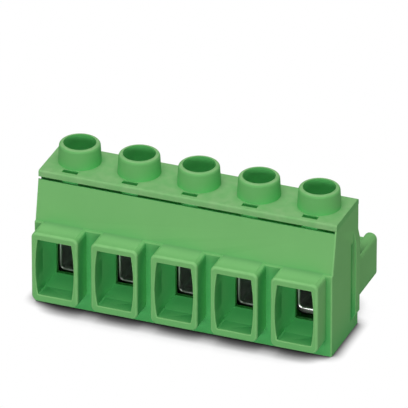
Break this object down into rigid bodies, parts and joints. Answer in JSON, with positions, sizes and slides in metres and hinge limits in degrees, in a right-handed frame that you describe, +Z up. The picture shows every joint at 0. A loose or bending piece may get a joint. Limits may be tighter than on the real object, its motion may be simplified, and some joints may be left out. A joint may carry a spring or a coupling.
{
  "type": "pluggable screw terminal",
  "caption": "Green board connector plug with a row of wire funnels in front, screwdriver chimneys on top and socket fingers behind; screw-driven cages clamp the wires.",
  "frame": {"origin": "on the flat base, straight under the axis of the middle clamp screw", "axes": "+X along the row of poles, +Y from the wire side to the plug face, +Z up, out of the screwdriver chimneys"},
  "size_m": [0.0386, 0.0187, 0.0195],
  "materials": {
    "housing_plastic": "fine matt moulded polyamide",
    "cover_plastic": "fine matt moulded polyamide",
    "screw_steel": "zinc-plated steel",
    "cage_steel": "bright plated steel",
    "contact_copper": "tinned copper alloy"
  },
  "bodies": {
    "plug": {"housing": "housing_plastic", "screw_cover": "cover_plastic", "contact_1": "contact_copper", "contact_2": "contact_copper", "contact_3": "contact_copper", "contact_4": "contact_copper", "contact_5": "contact_copper"},
    "screw_1": {"clamp_screw_1": "screw_steel"},
    "cage_1": {"clamp_cage_1": "cage_steel"},
    "screw_2": {"clamp_screw_2": "screw_steel"},
    "cage_2": {"clamp_cage_2": "cage_steel"},
    "screw_3": {"clamp_screw_3": "screw_steel"},
    "cage_3": {"clamp_cage_3": "cage_steel"},
    "screw_4": {"clamp_screw_4": "screw_steel"},
    "cage_4": {"clamp_cage_4": "cage_steel"},
    "screw_5": {"clamp_screw_5": "screw_steel"},
    "cage_5": {"clamp_cage_5": "cage_steel"}
  },
  "joints": [
    {"name": "screw_1_turn", "type": "hinge", "parent": "plug", "child": "screw_1", "pos_m": [-0.01524, 0, 0.0139], "axis": [0, 0, -1], "range_deg": [0, 2124.05]},
    {"name": "cage_1_slide", "type": "slide", "parent": "plug", "child": "cage_1", "axis": [0, 0, 1], "range_m": [0, 0.00295]},
    {"name": "screw_2_turn", "type": "hinge", "parent": "plug", "child": "screw_2", "pos_m": [-0.00762, 0, 0.0139], "axis": [0, 0, -1], "range_deg": [0, 2124.05]},
    {"name": "cage_2_slide", "type": "slide", "parent": "plug", "child": "cage_2", "axis": [0, 0, 1], "range_m": [0, 0.00295]},
    {"name": "screw_3_turn", "type": "hinge", "parent": "plug", "child": "screw_3", "pos_m": [0, 0, 0.0139], "axis": [0, 0, -1], "range_deg": [0, 2124.05]},
    {"name": "cage_3_slide", "type": "slide", "parent": "plug", "child": "cage_3", "axis": [0, 0, 1], "range_m": [0, 0.00295]},
    {"name": "screw_4_turn", "type": "hinge", "parent": "plug", "child": "screw_4", "pos_m": [0.00762, 0, 0.0139], "axis": [0, 0, -1], "range_deg": [0, 2124.05]},
    {"name": "cage_4_slide", "type": "slide", "parent": "plug", "child": "cage_4", "axis": [0, 0, 1], "range_m": [0, 0.00295]},
    {"name": "screw_5_turn", "type": "hinge", "parent": "plug", "child": "screw_5", "pos_m": [0.01524, 0, 0.0139], "axis": [0, 0, -1], "range_deg": [-648.05, 1476.05]},
    {"name": "cage_5_slide", "type": "slide", "parent": "plug", "child": "cage_5", "axis": [0, 0, 1], "range_m": [-0.0009, 0.00205]}
  ],
  "couplings": [
    {"joint": "screw_1_turn", "follows": "cage_1_slide", "rad_per_m": 12566},
    {"joint": "screw_2_turn", "follows": "cage_2_slide", "rad_per_m": 12566},
    {"joint": "screw_3_turn", "follows": "cage_3_slide", "rad_per_m": 12566},
    {"joint": "screw_4_turn", "follows": "cage_4_slide", "rad_per_m": 12566},
    {"joint": "screw_5_turn", "follows": "cage_5_slide", "rad_per_m": 12566}
  ]
}
